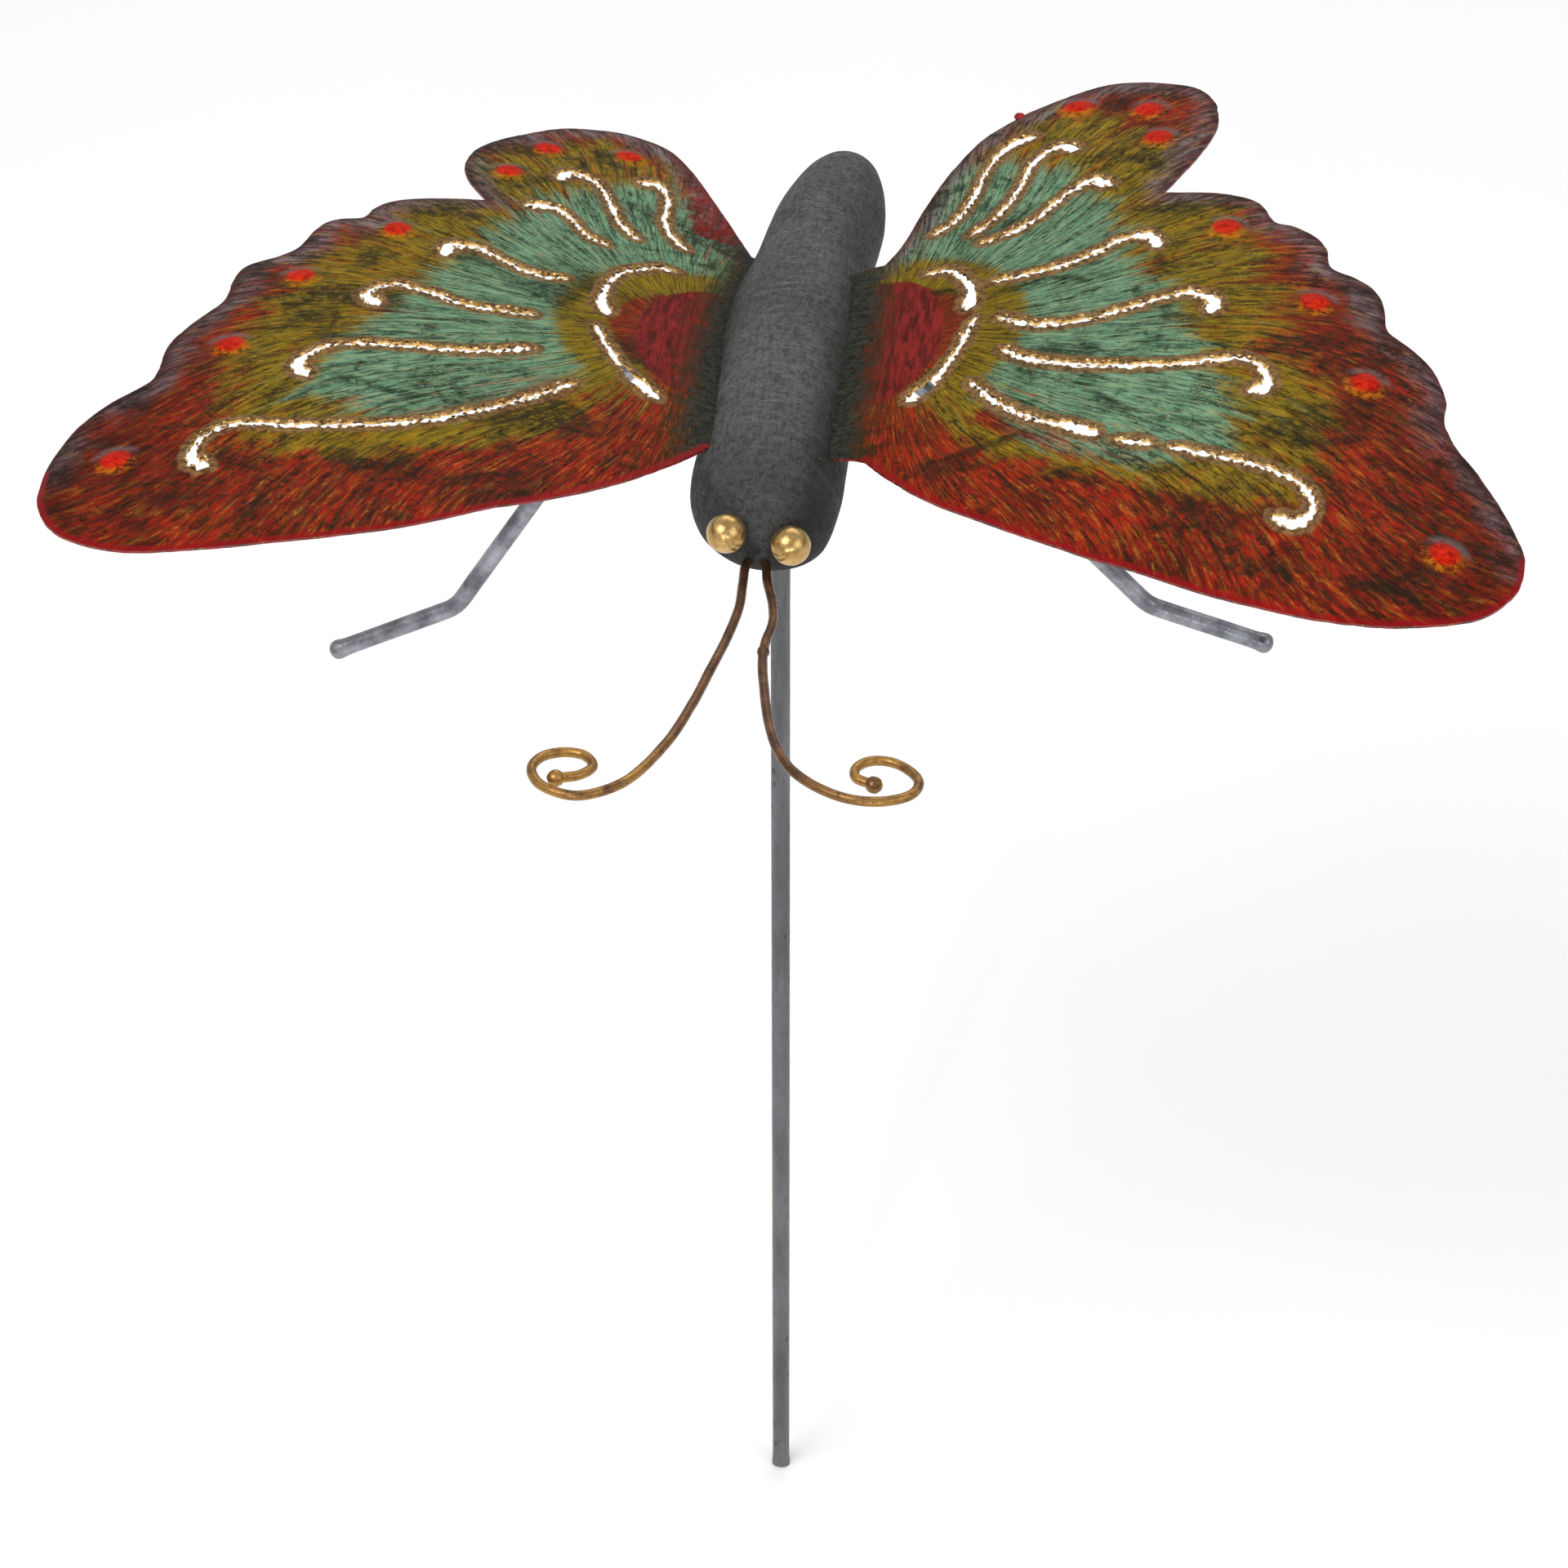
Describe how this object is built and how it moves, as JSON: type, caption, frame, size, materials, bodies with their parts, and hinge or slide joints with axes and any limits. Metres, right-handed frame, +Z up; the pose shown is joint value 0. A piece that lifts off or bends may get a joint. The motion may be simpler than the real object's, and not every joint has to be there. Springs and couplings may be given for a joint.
{
  "type": "butterfly garden stake",
  "caption": "Painted metal butterfly with torch-cut wings that swivels and rocks on the rounded top of a round ground stake, steadied by bent steel balance rods.",
  "frame": {"origin": "centre of the stake's lower end", "axes": "+Z up along the stake, +Y from the butterfly's head towards its tail, X across the wings"},
  "size_m": [0.3985, 0.3319, 0.5006],
  "materials": {
    "stake_paint": "satin dark grey paint with small pits",
    "cup_steel": "plain drawn steel",
    "body_paint": "mottled matt charcoal paint",
    "wing_paint": "sprayed turquoise, mustard and red paint over flame-coloured steel",
    "eye_bronze": "bronze-gold bead",
    "wire_copper": "brown copper-coloured wire",
    "rod_steel": "bare bright steel rod",
    "weld_dark": "rough weld metal under paint"
  },
  "bodies": {
    "stake": {"ground_stake": "stake_paint"},
    "cup": {"pivot_cup": "cup_steel"},
    "saddle": {"rocker_saddle": "cup_steel"},
    "butterfly": {"seat_cup": "cup_steel", "thorax_shell": "body_paint", "abdomen_shell": "body_paint", "wing_left": "wing_paint", "wing_right": "wing_paint", "eye_left": "eye_bronze", "eye_right": "eye_bronze", "antenna_wire": "wire_copper", "antenna_tip_left": "wire_copper", "antenna_tip_right": "wire_copper", "arm_left": "rod_steel", "arm_right": "rod_steel", "arm_end_left": "rod_steel", "arm_end_right": "rod_steel", "weld_wing_left_front": "weld_dark", "weld_wing_left_rear": "weld_dark", "weld_wing_right_front": "weld_dark", "weld_wing_right_rear": "weld_dark", "weld_arm_left": "weld_dark", "weld_arm_right": "weld_dark"}
  },
  "joints": [
    {"name": "swivel", "type": "hinge", "parent": "stake", "child": "cup", "pos_m": [0, 0, 0.4742], "axis": [0, 0, 1], "continuous": true},
    {"name": "nod", "type": "hinge", "parent": "cup", "child": "saddle", "pos_m": [0, 0, 0.4742], "axis": [1, 0, 0], "range_deg": [-15, 15]},
    {"name": "sway", "type": "hinge", "parent": "saddle", "child": "butterfly", "pos_m": [0, 0, 0.4742], "axis": [0, 1, 0], "range_deg": [-15, 15]}
  ]
}
